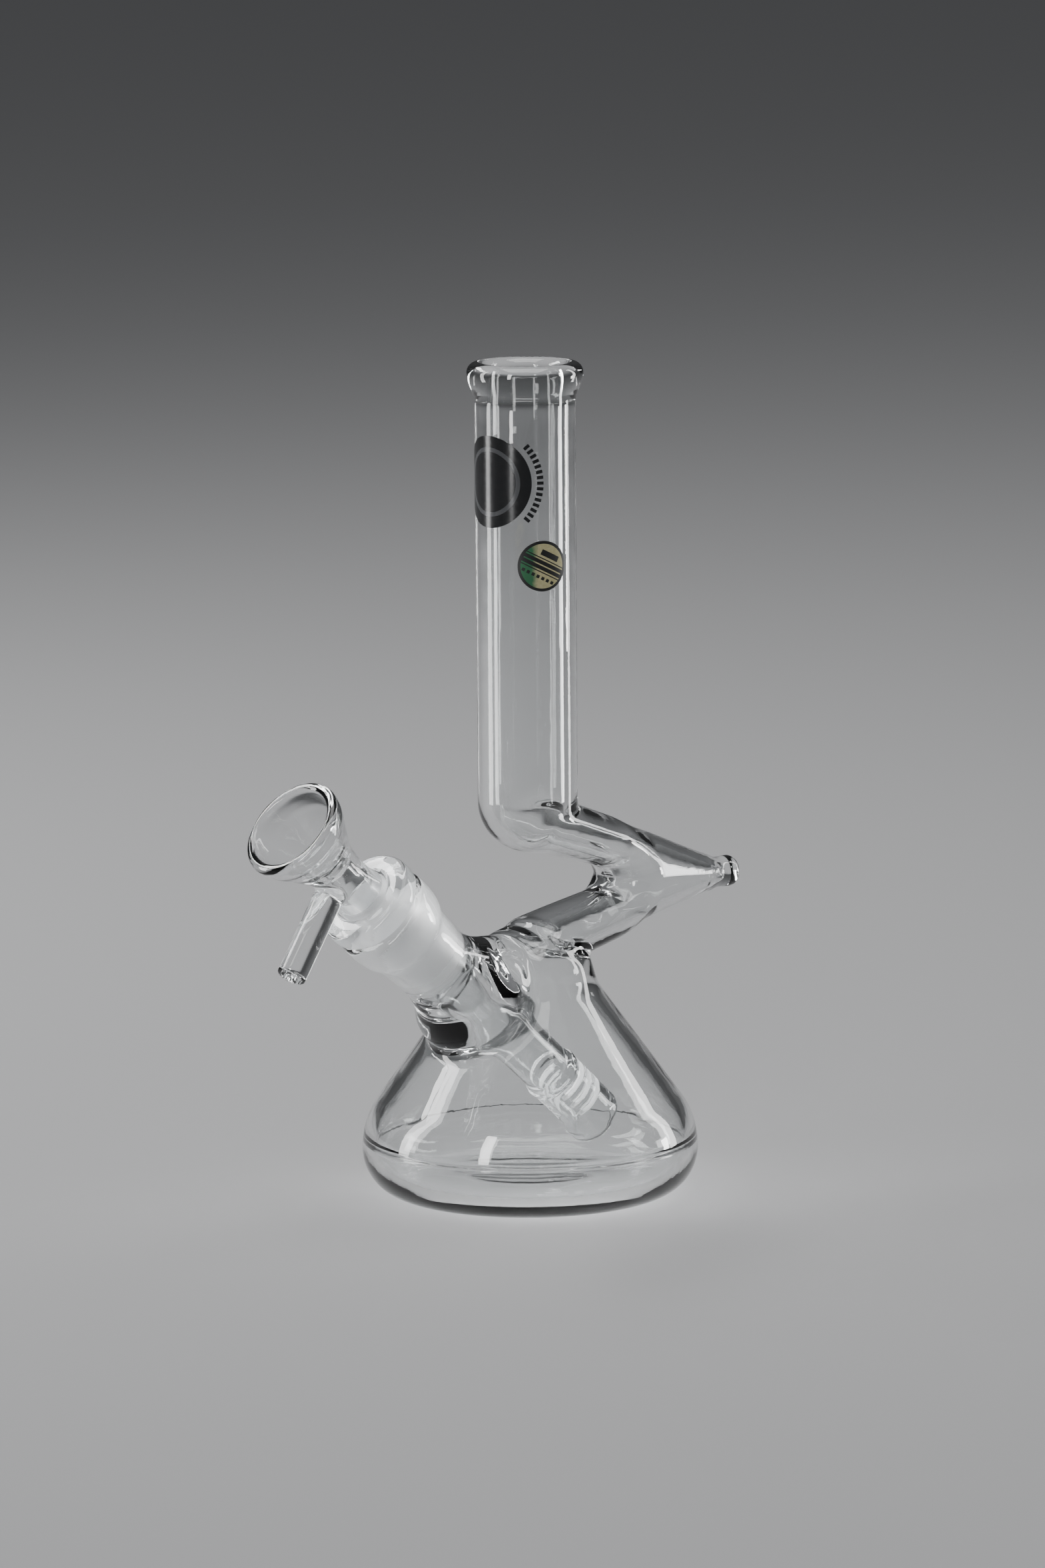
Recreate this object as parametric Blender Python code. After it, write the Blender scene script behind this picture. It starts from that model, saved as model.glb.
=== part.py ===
"""A clear glass water pipe with a zig-zag neck, at rest, in metres with +Z up.

The flask stands on its flat floor at the origin. The plane of symmetry is XZ: the ground joint
leans out towards -X and the pulled cone of the neck points towards +X. Lengths below are in
millimetres. A place on the joint's axis is its distance from where that axis crosses the axis
of the flask, counted outwards.
"""

import math

import bmesh
import bpy
from mathutils import Matrix, Vector

MM = 0.001
FIT = 0.3  # room between neighbouring pieces
SIDES = 28

# Flask
FLOOR_RADIUS = 33.0
FLASK_RADIUS = 43.9
CORNER_HEIGHT = 12.0
SHOULDER_ARC = 22.3
CONE_ANGLE = math.radians(36)
NECK_JOIN_HEIGHT = 56.0
FLASK_WALL = 3.3
FLOOR_THICKNESS = 4.5

# Neck tube and mouth
TUBE_RADIUS = 13.0
TUBE_BORE = 9.5
TUBE_FOOT = 106.0
LIP_FOOT = 206.6
LIP_RADIUS = 15.1
LIP_WIDEST = 215.0
TOTAL_HEIGHT = 217.9

# Zig-zag: each leg from (x, z) to (x, z), with its (thickness, width) half axes at those ends,
# and the cone pulled out from the crease between them to the nub
LEG_WALL = 3.0
UPPER_ELBOW_HEIGHT = 103.2
UPPER_LEG = ((0.0, 98.4), (32.0, 87.3))
UPPER_LEG_SIZES = ((7.6, 12.7), (6.6, 11.3))
LOWER_ELBOW_HEIGHT = 58.5
LOWER_ELBOW_RADIUS = 16.2
LOWER_ELBOW_RISE = 12.0
LOWER_LEG = ((7.0, 66.6), (32.0, 71.6))
LOWER_LEG_SIZES = ((7.0, 12.2), (6.5, 11.2))
CONE_FOOT = (29.5, 79.3)
CONE_TIP = (66.8, 76.2)
CONE_FOOT_HEIGHT = 15.2
CONE_FOOT_WIDTH = 12.7
CONE_TIP_RADIUS = 3.9
NUB_RADIUS = 4.1
NUB_END_X = 72.9

# Ground joint
JOINT_CROSSING = 36.3  # height at which its axis crosses the flask's axis
JOINT_ANGLE = math.radians(40.7)  # above the horizontal
TAPER = 0.05  # radius lost for each unit of length, the standard 1:10 on the diameter
STUB_FOOT = 12.0
STUB_RADIUS = 16.6
STUB_TOP_RADIUS = 10.8
STUB_END = 43.0
SOCKET_END = 68.0
SOCKET_LIP = 13.4
SOCKET_RADIUS = 11.25  # outside, where the lip starts
SOCKET_BORE = 9.4  # at the open end, for the 18.8 mm taper
STUB_BORE = 9.2

# Downstem
HEAD_END = 75.2
HEAD_LIP = 13.45
HEAD_BORE = 7.25  # at the open end, for the 14.5 mm taper
STEM_RADIUS = 6.8
STEM_BORE = 5.6
STEM_TOP = 41.0
TIP_RADIUS = 7.5
TIP_BORE = 5.9
DIFFUSER_TOP = -9.5
STEM_END = -31.0
SLITS = (-13.7, -17.3, -20.9)
SLIT_WIDTH = 1.1
SLIT_DEPTH = 3.9
SLIT_TURN = math.radians(20)

# Bowl
BOWL_JOINT_FOOT = 50.0
BOWL_BORE = 3.6
BOWL_HOLE = 2.6
BOWL_NECK = 88.0
BOWL_RIM_FOOT = 103.6
BOWL_END = 107.3
BOWL_RADIUS = 13.95
HANDLE_PLACE = 85.5
HANDLE_FOOT = 7.5
HANDLE_REACH = 31.4
HANDLE_RADIUS = 3.8
HANDLE_TURN = math.radians(8)

# Labels on the tube: turn from -X towards -Y, height, radius
DECAL = (math.radians(2.6), 187.9, 11.9)
STICKER = (math.radians(67), 166.4, 6.55)
LABEL_THICKNESS = 0.35


def glass(name, colour, roughness):
    material = bpy.data.materials.new(name)
    material.use_nodes = True
    shader = material.node_tree.nodes["Principled BSDF"]
    shader.inputs["Base Color"].default_value = (*colour, 1.0)
    shader.inputs["Roughness"].default_value = roughness
    return material


def add_object(name, mesh_data, colour, roughness, helper=False):
    """A new object with its own material. A helper only cuts or fills other pieces."""
    bmesh.ops.remove_doubles(mesh_data, verts=mesh_data.verts, dist=1e-6)
    bmesh.ops.recalc_face_normals(mesh_data, faces=mesh_data.faces)
    mesh = bpy.data.meshes.new(name)
    mesh_data.to_mesh(mesh)
    mesh_data.free()
    mesh.shade_smooth()
    mesh.set_sharp_from_angle(angle=math.radians(35))
    mesh.materials.append(glass(name, colour, roughness))
    piece = bpy.data.objects.new(name, mesh)
    bpy.context.scene.collection.objects.link(piece)
    if helper:
        piece.hide_render = True
        piece.display_type = "WIRE"
    return piece


CLEAR = ((0.86, 0.89, 0.90), 0.03)
GROUND = ((0.93, 0.93, 0.92), 0.55)


def turned(name, outline, finish=CLEAR, helper=False, sides=SIDES):
    """A closed outline of (radius, height) points turned round Z."""
    data = bmesh.new()
    points = [data.verts.new((radius * MM, 0.0, height * MM)) for radius, height in outline]
    edges = [data.edges.new((a, b)) for a, b in zip(points, points[1:] + points[:1])]
    bmesh.ops.spin(
        data, geom=points + edges, cent=(0, 0, 0), axis=(0, 0, 1),
        angle=math.tau, steps=sides, use_merge=True,
    )
    bmesh.ops.dissolve_degenerate(data, dist=1e-7, edges=data.edges)
    return add_object(name, data, *finish, helper=helper)


def lofted(name, rings, finish=CLEAR, helper=False):
    """A closed solid through rings of points, with flat ends."""
    data = bmesh.new()
    rows = [[data.verts.new(point * MM) for point in ring] for ring in rings]
    for row, after in zip(rows, rows[1:]):
        for i, corner in enumerate(row):
            j = (i + 1) % len(row)
            data.faces.new((corner, row[j], after[j], after[i]))
    data.faces.new(rows[0])
    data.faces.new(rows[-1])
    return add_object(name, data, *finish, helper=helper)


def ellipse(centre, across, up, sides=SIDES):
    """Points round an ellipse from its two half axes, given as vectors."""
    turns = (math.tau * i / sides for i in range(sides))
    return [centre + across * math.cos(t) + up * math.sin(t) for t in turns]


def leg(name, ends, sizes, grow=0.0):
    """A straight leg of oval section in the XZ plane, as a helper. Its half axes grow by the
    amount given, and a leg that shrinks, being a bore, reaches as much further at its far end."""
    start, end = (Vector((x, 0.0, z)) for x, z in ends)
    along = (end - start).normalized()
    end = end + along * max(0.0, -grow)
    up = along.cross(Vector((0.0, 1.0, 0.0))).normalized()
    across = Vector((0.0, 1.0, 0.0))
    rings = [
        ellipse(point, across * (width + grow), up * (thickness + grow))
        for point, (thickness, width) in zip((start, end), sizes)
    ]
    return lofted(name, rings, helper=True)


def arc(centre, radius, start, end, steps):
    """Points on an arc, with its angles in degrees from the outward direction."""
    turns = (math.radians(start + (end - start) * i / steps) for i in range(steps + 1))
    return [(centre[0] + radius * math.cos(t), centre[1] + radius * math.sin(t)) for t in turns]


def boolean(piece, cutter, operation="DIFFERENCE", solver="EXACT"):
    modifier = piece.modifiers.new(cutter.name, "BOOLEAN")
    modifier.operation = operation
    modifier.object = cutter
    modifier.solver = solver


def on_joint(piece):
    """Moves a piece turned round Z so that Z becomes the joint's axis."""
    tilt = Matrix.Rotation(JOINT_ANGLE - math.pi / 2, 4, "Y")
    piece.matrix_world = Matrix.Translation((0.0, 0.0, JOINT_CROSSING * MM)) @ tilt
    return piece


def flask_outline(offset=0.0):
    """The flask's outside from its floor up to the neck, moved inwards by an offset."""
    corner_width = FLASK_RADIUS - FLOOR_RADIUS
    points = []
    for i in range(9):
        t = math.radians(11.25 * i)
        points.append((
            FLOOR_RADIUS + (corner_width - offset) * math.sin(t),
            CORNER_HEIGHT - (CORNER_HEIGHT - offset) * math.cos(t),
        ))
    centre = (FLASK_RADIUS - SHOULDER_ARC, CORNER_HEIGHT)
    points += arc(centre, SHOULDER_ARC - offset, 6, math.degrees(CONE_ANGLE), 4)
    radius, height = points[-1]
    neck = radius - (NECK_JOIN_HEIGHT - height) * math.tan(CONE_ANGLE)
    return points + [(neck, NECK_JOIN_HEIGHT)]


def joint_hole():
    """The way through for the downstem, cut from each piece that it passes."""
    outline = [(0.0, 5.0), (STUB_BORE, 5.0), (STUB_BORE, 60.0), (0.0, 60.0)]
    return on_joint(turned("joint_hole", outline, helper=True))


def flask(hole):
    outside = flask_outline()
    inside = flask_outline(FLASK_WALL)
    lift = FLOOR_THICKNESS - FLASK_WALL
    inside = [(r, z + lift * max(0.0, 1 - z / CORNER_HEIGHT)) for r, z in inside]
    outline = [(0.0, 0.0)] + outside + inside[::-1] + [(0.0, FLOOR_THICKNESS)]
    body = turned("flask_base", outline, sides=36)
    boolean(body, hole)


def dome(name, centre, radius, rise, foot):
    """A round end of a tube, as a helper: half an ellipsoid on a cylinder down to the foot."""
    towards = 1 if foot < centre else -1
    turns = (math.radians(90 * i / 8) for i in range(9))
    top = [(radius * math.cos(t), centre + towards * rise * math.sin(t)) for t in turns]
    return turned(name, [(0.0, foot), (radius, foot)] + top, helper=True)


def zigzag(hole):
    """The two legs, the elbows at their ends and the pulled cone, hollow right through."""
    shells = {}
    for kind, wall, bore in (("outer", 0.0, TUBE_RADIUS), ("inner", LEG_WALL, TUBE_BORE)):
        spare = wall / 3
        upper = dome(kind + "_elbow", UPPER_ELBOW_HEIGHT, bore, bore, TUBE_FOOT - FIT + spare)
        lower = dome(
            kind + "_low_elbow", LOWER_ELBOW_HEIGHT, LOWER_ELBOW_RADIUS - wall,
            LOWER_ELBOW_RISE - wall, NECK_JOIN_HEIGHT + FIT - spare,
        )
        upper_leg = leg(kind + "_upper_leg", UPPER_LEG, UPPER_LEG_SIZES, -wall)
        lower_leg = leg(kind + "_lower_leg", LOWER_LEG, LOWER_LEG_SIZES, -wall)
        foot = Vector((CONE_FOOT[0] + wall * 0.6, 0.0, CONE_FOOT[1]))
        tip = Vector((CONE_TIP[0] - wall * 0.5, 0.0, CONE_TIP[1]))
        across, up = Vector((0.0, 1.0, 0.0)), Vector((0.0, 0.0, 1.0))
        tip_radius = CONE_TIP_RADIUS - wall * 0.8
        cone = lofted(kind + "_cone", [
            ellipse(foot, across * (CONE_FOOT_WIDTH - wall), up * (CONE_FOOT_HEIGHT - wall)),
            ellipse(tip, across * tip_radius, up * tip_radius),
        ], helper=True)
        shells[kind] = (cone, upper_leg, lower_leg, upper, lower)
    cone = shells["outer"][0]
    body = bpy.data.objects.new("zigzag_neck", cone.data.copy())
    bpy.context.scene.collection.objects.link(body)
    for piece in shells["outer"][1:]:
        boolean(body, piece, "UNION", "MANIFOLD")
    for piece in shells["inner"]:
        boolean(body, piece, solver="MANIFOLD")
    boolean(body, hole, solver="MANIFOLD")


def nub():
    """The solid glass button left at the tip of the cone, with a slight waist where it was cut."""
    start = CONE_TIP[0] + FIT
    length = NUB_END_X - start
    edge = 1.6
    outline = [(0.0, 0.0), (CONE_TIP_RADIUS, 0.0), (CONE_TIP_RADIUS - 0.15, 0.8), (NUB_RADIUS, 2.6)]
    outline += arc((NUB_RADIUS - edge, length - edge), edge, 0, 90, 5)
    outline += [(0.0, length)]
    piece = turned("kick_nub", outline, sides=28)
    piece.location = (start * MM, 0.0, CONE_TIP[1] * MM)
    piece.rotation_euler = (0.0, math.pi / 2, 0.0)


def neck_tube():
    low, high = TUBE_FOOT, LIP_FOOT - FIT
    turned("neck_tube", [
        (TUBE_BORE, low), (TUBE_RADIUS, low), (TUBE_RADIUS, high), (TUBE_BORE, high),
    ], sides=24)


def mouth_lip():
    """The thick rolled mouthpiece: it swells from the tube, then rounds over to the bore."""
    rise = LIP_WIDEST - LIP_FOOT
    swell = [
        (TUBE_RADIUS + (LIP_RADIUS - TUBE_RADIUS) * (0.5 - 0.5 * math.cos(math.pi * u)),
         LIP_FOOT + rise * u)
        for u in (i / 7 for i in range(7))
    ]
    crest = arc((LIP_RADIUS - 2.9, LIP_WIDEST), 2.9, 0, 90, 6)
    inside = arc((TUBE_BORE + 2.2, TOTAL_HEIGHT - 2.2), 2.2, 90, 180, 4)
    turned("mouth_lip", [(TUBE_BORE, LIP_FOOT)] + swell + crest + inside, sides=24)


def joint_stub():
    """The clear flared weld between the flask and the ground socket."""
    flare = [
        (STUB_RADIUS, 28.0), (16.0, 30.0), (14.9, 32.0), (13.6, 34.0), (12.6, 36.0), (11.6, 38.6),
        (STUB_TOP_RADIUS, STUB_END - FIT - 0.1),
    ]
    outline = [(STUB_BORE, STUB_FOOT), (STUB_RADIUS, STUB_FOOT)] + flare
    stub = on_joint(turned("joint_stub", outline + [(STUB_BORE, STUB_END - FIT - 0.1)]))
    room = 2 * FIT
    grown = [(r + (FIT if z > 0 else 0.0), z) for r, z in flask_outline(-FIT)]
    boolean(stub, turned(
        "flask_room", [(0.0, -FIT)] + grown + [(0.0, NECK_JOIN_HEIGHT)], helper=True
    ))
    boolean(stub, dome(
        "elbow_room", LOWER_ELBOW_HEIGHT, LOWER_ELBOW_RADIUS + room, LOWER_ELBOW_RISE + room,
        NECK_JOIN_HEIGHT - room,
    ))
    boolean(stub, leg("leg_room", LOWER_LEG, LOWER_LEG_SIZES, room))


def socket():
    """The 18.8 mm female ground joint with its rolled lip."""
    start = STUB_END
    length = SOCKET_END - start
    lip = [
        (SOCKET_RADIUS + 0.2, 55.6), (12.5, 57.6), (SOCKET_LIP - 0.3, 60.4), (SOCKET_LIP, 64.2),
        (SOCKET_LIP - 0.1, 66.4), (SOCKET_LIP - 1.2, SOCKET_END),
    ]
    outline = [(SOCKET_BORE - TAPER * length, start), (SOCKET_RADIUS - 0.7, start)]
    outline += lip + [(SOCKET_BORE, SOCKET_END)]
    on_joint(turned("joint_socket", outline, GROUND))


def downstem():
    """The removable inner tube: ground cone, rolled head, tube and slit diffuser tip."""
    head_foot = SOCKET_END + FIT
    grip = SOCKET_BORE - FIT
    cone_foot = STEM_TOP + FIT
    cone_length = SOCKET_END - cone_foot

    def bore_at(place):
        return HEAD_BORE - TAPER * (HEAD_END - place)

    on_joint(turned("downstem_ground_joint", [
        (STEM_BORE, cone_foot), (grip - TAPER * cone_length, cone_foot), (grip, SOCKET_END),
        (bore_at(SOCKET_END), SOCKET_END), (bore_at(48.0), 48.0), (STEM_BORE, 45.0),
    ], GROUND))
    middle = (head_foot + HEAD_END) / 2
    half = (HEAD_END - head_foot) / 2
    rim = arc((HEAD_LIP - half * 0.8, middle), half, -78, 78, 9)
    rim = [(HEAD_LIP - half * 0.8 + (r - HEAD_LIP + half * 0.8) * 0.8, z) for r, z in rim]
    on_joint(turned("downstem_head", [
        (bore_at(head_foot), head_foot), *rim, (HEAD_BORE, HEAD_END),
    ]))
    on_joint(turned("downstem_tube", [
        (STEM_BORE, DIFFUSER_TOP), (STEM_RADIUS, DIFFUSER_TOP), (STEM_RADIUS, STEM_TOP),
        (STEM_BORE, STEM_TOP),
    ], sides=24))
    tip = on_joint(turned("diffuser_tip", [
        (TIP_BORE, STEM_END), (TIP_RADIUS - 0.3, STEM_END), (TIP_RADIUS + 0.1, STEM_END + 1.2),
        (TIP_RADIUS, DIFFUSER_TOP - FIT), (TIP_BORE, DIFFUSER_TOP - FIT),
    ], sides=24))
    for place in SLITS:
        for side in (-1, 1):
            data = bmesh.new()
            bmesh.ops.create_cube(data, size=1.0)
            width = 2 * TIP_RADIUS + 2
            bmesh.ops.scale(data, vec=(width * MM, 8 * MM, SLIT_WIDTH * MM), verts=data.verts)
            reach = TIP_RADIUS - SLIT_DEPTH + 4
            bmesh.ops.translate(data, vec=(0, side * reach * MM, place * MM), verts=data.verts)
            bmesh.ops.rotate(
                data, cent=(0, 0, 0), matrix=Matrix.Rotation(SLIT_TURN, 3, "Z"), verts=data.verts
            )
            kind = "near" if side < 0 else "far"
            saw = add_object(f"{kind}_slit_{-place:.0f}", data, *CLEAR, helper=True)
            boolean(tip, on_joint(saw))


def bowl():
    """The funnel bowl with its male ground joint and its solid rod handle."""
    grip = HEAD_BORE - FIT
    foot, top = BOWL_JOINT_FOOT, HEAD_END

    def grip_at(place):
        return grip - TAPER * (HEAD_END - place)

    on_joint(turned("bowl_ground_joint", [
        (BOWL_BORE, foot), (grip_at(foot), foot), (grip_at(top), top), (BOWL_BORE, top),
    ], GROUND, sides=24))
    on_joint(turned("bowl_neck", [
        (BOWL_BORE, top + FIT), (grip, top + FIT), (6.5, 80.0), (6.3, 84.0), (6.6, BOWL_NECK),
        (BOWL_HOLE, BOWL_NECK), (BOWL_HOLE, 82.0),
    ], sides=24))
    cone_foot = BOWL_NECK + FIT
    on_joint(turned("bowl_cone", [
        (BOWL_HOLE, cone_foot), (6.7, cone_foot), (7.9, 92.0), (9.9, 96.0), (12.0, 100.0),
        (13.35, BOWL_RIM_FOOT), (10.9, BOWL_RIM_FOOT), (9.4, 100.0), (7.2, 96.0), (4.8, 92.6),
    ]))
    low = BOWL_RIM_FOOT + FIT
    middle = (low + BOWL_END) / 2
    rim = [(BOWL_RADIUS - 1.6 + 1.6 * math.cos(t), middle + (BOWL_END - low) / 2 * math.sin(t))
           for t in (math.radians(-80 + 20 * i) for i in range(9))]
    on_joint(turned("bowl_rim", [(11.1, low), *rim, (11.3, BOWL_END - 0.4), (10.9, middle)]))


def handle():
    """A solid rod that leaves the bowl's neck square to the joint's axis."""
    outwards = Vector((-math.cos(HANDLE_TURN), -math.sin(HANDLE_TURN), 0.0))
    sideways = outwards.cross(Vector((0.0, 0.0, 1.0)))
    foot = Vector((0.0, 0.0, HANDLE_PLACE))
    rings = []
    for reach, size in ((HANDLE_FOOT, 1.0), (HANDLE_REACH - 0.6, 1.0), (HANDLE_REACH, 0.85)):
        radius = HANDLE_RADIUS * size
        upwards = Vector((0.0, 0.0, radius))
        rings.append(ellipse(foot + outwards * reach, sideways * radius, upwards, sides=24))
    on_joint(lofted("bowl_handle", rings))


def label(name, place, finish):
    """A round label that follows the tube's wall: two dished discs joined at the rim."""
    turn, height, radius = place
    data = bmesh.new()
    faces = []
    for layer in (TUBE_RADIUS + FIT, TUBE_RADIUS + FIT + LABEL_THICKNESS):
        rings = []
        for size in (0.0, 0.35, 0.7, 1.0):
            ring = []
            for i in range(1 if size == 0 else 32):
                t = math.tau * i / 32
                swing = turn + radius * size * math.cos(t) / TUBE_RADIUS
                point = Vector((-layer * math.cos(swing), -layer * math.sin(swing), 0.0))
                point.z = height + radius * size * math.sin(t)
                ring.append(data.verts.new(point * MM))
            rings.append(ring)
        faces.append(rings)
        for i in range(32):
            j = (i + 1) % 32
            data.faces.new((rings[0][0], rings[1][i], rings[1][j]))
            for inner, outer in zip(rings[1:], rings[2:]):
                data.faces.new((inner[i], outer[i], outer[j], inner[j]))
    back, front = faces[0][-1], faces[1][-1]
    for i in range(32):
        j = (i + 1) % 32
        data.faces.new((back[i], back[j], front[j], front[i]))
    add_object(name, data, *finish)


def main():
    for leftover in list(bpy.data.objects):
        bpy.data.objects.remove(leftover)
    hole = joint_hole()
    flask(hole)
    zigzag(hole)
    nub()
    neck_tube()
    mouth_lip()
    joint_stub()
    socket()
    downstem()
    bowl()
    handle()
    label("round_decal", DECAL, ((0.06, 0.06, 0.07), 0.4))
    label("round_sticker", STICKER, ((0.70, 0.66, 0.40), 0.35))


main()
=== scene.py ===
"""A clear glass water pipe with a zig-zag neck, on a pale floor.

Each loose piece of glass is one closed mesh, taken from a solid described in millimetres: the
blown glass has soft joins everywhere, so its shapes are blended before the surface is made.
"""

import math

import bpy
import numpy as np
from mathutils import Matrix, Vector


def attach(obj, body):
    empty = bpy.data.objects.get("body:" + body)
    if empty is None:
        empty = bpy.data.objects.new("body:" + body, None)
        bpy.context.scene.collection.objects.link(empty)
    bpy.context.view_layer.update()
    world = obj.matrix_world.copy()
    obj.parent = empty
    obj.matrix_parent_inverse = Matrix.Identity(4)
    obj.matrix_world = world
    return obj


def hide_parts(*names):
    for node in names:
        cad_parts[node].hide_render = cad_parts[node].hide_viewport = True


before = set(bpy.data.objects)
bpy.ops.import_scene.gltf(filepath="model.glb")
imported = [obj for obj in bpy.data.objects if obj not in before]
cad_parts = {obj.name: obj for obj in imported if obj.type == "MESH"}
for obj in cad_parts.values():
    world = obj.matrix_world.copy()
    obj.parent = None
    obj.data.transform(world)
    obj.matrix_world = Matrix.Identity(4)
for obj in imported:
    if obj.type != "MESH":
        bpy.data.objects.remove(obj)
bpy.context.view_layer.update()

MM = 0.001

# Tube and mouth
TUBE_RADIUS, TUBE_BORE = 13.0, 9.5
LIP_FOOT, LIP_RADIUS, LIP_ROUND = 207.0, 15.1, 2.8
CREST = 215.1
ELBOW = 103.2

# Ground joint: its axis crosses the flask's axis at this height, and s runs outwards along it
JOINT_CROSSING = 36.3
JOINT_ANGLE = math.radians(40.7)
SOCKET_END, HEAD_END = 68.0, 75.2
STEM_RADIUS, STEM_END = 7.5, -31.0

# Walls
NECK_WALL, FLASK_WALL, FLOOR_THICKNESS = 3.0, 3.3, 4.5


# ---------------------------------------------------------------- fields

def smooth_min(a, b, k):
    h = np.maximum(k - np.abs(a - b), 0.0) / k
    return np.minimum(a, b) - h * h * h * (k / 6)


def smooth_max(a, b, k):
    return -smooth_min(-a, -b, k)


def ramp(value, start, end):
    t = np.clip((value - start) / (end - start), 0.0, 1.0)
    return t * t * (3 - 2 * t)


def rounded_edge(a, b, radius):
    """What lies in both a and b, with the edge between them rounded."""
    corner = np.hypot(np.maximum(a + radius, 0.0), np.maximum(b + radius, 0.0))
    return np.minimum(np.maximum(a, b) + radius, 0.0) + corner - radius


class Curve:
    """A smooth line through (place, value) points, flat beyond its ends."""

    def __init__(self, *points):
        x, y = np.array(points, float).T
        slope = np.diff(y) / np.diff(x)
        tangent = np.zeros(len(x))
        same = slope[1:] * slope[:-1] > 0
        total = slope[1:] + slope[:-1]
        tangent[1:-1] = np.where(same, 2 * slope[1:] * slope[:-1] / np.where(same, total, 1), 0)
        tangent[0], tangent[-1] = slope[0] * 0.6, slope[-1] * 0.6
        self.place = np.arange(x[0], x[-1] + 0.05, 0.05)
        i = np.clip(np.searchsorted(x, self.place, side="right") - 1, 0, len(x) - 2)
        width = x[i + 1] - x[i]
        t = np.clip((self.place - x[i]) / width, 0, 1)
        self.value = (
            (1 + 2 * t) * (1 - t) ** 2 * y[i] + t * (1 - t) ** 2 * width * tangent[i]
            + t * t * (3 - 2 * t) * y[i + 1] + t * t * (t - 1) * width * tangent[i + 1]
        )
        self.slope = np.gradient(self.value, self.place)

    def __call__(self, place):
        return np.interp(place, self.place, self.value)

    def side(self, radius, place):
        """Distance from the side of the solid that this curve makes when turned."""
        slope = np.interp(place, self.place, self.slope)
        return (radius - self(place)) / np.sqrt(1 + slope * slope)


def oval(up, across, over, height, width):
    """Distance from an oval tube of these half axes, with a round end where over isn't 0."""
    ends = np.minimum(height, width)
    q = np.sqrt((up / height) ** 2 + (across / width) ** 2 + (over / ends) ** 2) + 1e-6
    steep = np.sqrt((up / height**2) ** 2 + (across / width**2) ** 2 + (over / ends**2) ** 2)
    return (q - 1) * q / (steep + 1e-6)


def leg(x, y, z, start, end, heights, widths, wall):
    """A straight tube of oval section in the XZ plane, its half axes changing from end to end."""
    dx, dz = end[0] - start[0], end[1] - start[1]
    length = math.hypot(dx, dz)
    dx, dz = dx / length, dz / length
    along = (x - start[0]) * dx + (z - start[1]) * dz
    up = (z - start[1]) * dx - (x - start[0]) * dz
    within = np.clip(along, 0, length)
    share = ramp(within, 0, length)
    height = heights[0] + (heights[1] - heights[0]) * share - wall
    width = widths[0] + (widths[1] - widths[0]) * share - wall
    return oval(up, y, along - within, height, width)


def ball(x, y, z, height, radius, rise=None):
    """A ball, or with a rise of its own a flattened one."""
    rise = rise or radius
    up = z - height
    q = np.sqrt((x * x + y * y) / radius**2 + (up / rise) ** 2) + 1e-6
    return (q - 1) * q / (np.sqrt((x * x + y * y) / radius**4 + up * up / rise**4) + 1e-6)


def on_joint(x, y, z, lean=0.0):
    """(distance from the joint's axis, place along it). The lean raises the end at the flask."""
    up = z - JOINT_CROSSING
    s = up * math.sin(JOINT_ANGLE) - x * math.cos(JOINT_ANGLE)
    side = x * math.sin(JOINT_ANGLE) + up * math.cos(JOINT_ANGLE)
    return np.hypot(side - lean * (1 - ramp(s, 30, 44)), y), s


# ---------------------------------------------------------------- the pipe

CONE_ANGLE = math.radians(36)
SHOULDER_ARC = 22.3
FLASK_RADIUS, FLOOR_RADIUS, CORNER = 43.9, 33.0, 12.0
WELD_RING = 14.4
FLASK_TOP = 60.0


def flask(x, y, z, wall, floor):
    """The flask: an elliptic corner, an arc, and a straight cone up to the neck. Inside, the floor
    rises a little to its middle and a faint ring shows where it was welded to the wall."""
    r = np.hypot(x, y)
    if floor:
        floor = floor + 1.3 * np.exp(-((r / 11) ** 2)) - 0.35 * np.exp(-(((r - 17) / 3.5) ** 2))
    reach = FLASK_RADIUS - FLOOR_RADIUS - wall
    drop = CORNER - floor
    out = np.maximum(r - FLOOR_RADIUS, 0.0)
    down = np.maximum(CORNER - z, 0.0)
    q = np.sqrt((out / reach) ** 2 + (down / drop) ** 2) + 1e-6
    steep = np.sqrt((out / reach**2) ** 2 + (down / drop**2) ** 2) + 1e-6
    low = (q - 1) * q / steep
    arc = SHOULDER_ARC - wall
    turn_r, turn_z = r - (FLASK_RADIUS - SHOULDER_ARC), z - CORNER
    cone = turn_r * math.cos(CONE_ANGLE) + turn_z * math.sin(CONE_ANGLE) - arc
    on_arc = turn_z < np.maximum(turn_r, 0) * math.tan(CONE_ANGLE)
    shoulder = np.where(on_arc, np.hypot(turn_r, turn_z) - arc, cone)
    ring = 0.4 * np.exp(-(((z - WELD_RING) / 0.6) ** 2)) if wall else 0.0
    return np.where(z < CORNER, low, shoulder) + ring


MOUTH = Curve(*[
    (
        LIP_FOOT + (CREST - LIP_FOOT) * u,
        TUBE_RADIUS + (LIP_RADIUS - TUBE_RADIUS) * (0.5 - 0.5 * math.cos(math.pi * u)),
    )
    for u in np.linspace(0, 1, 12)
])

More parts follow.
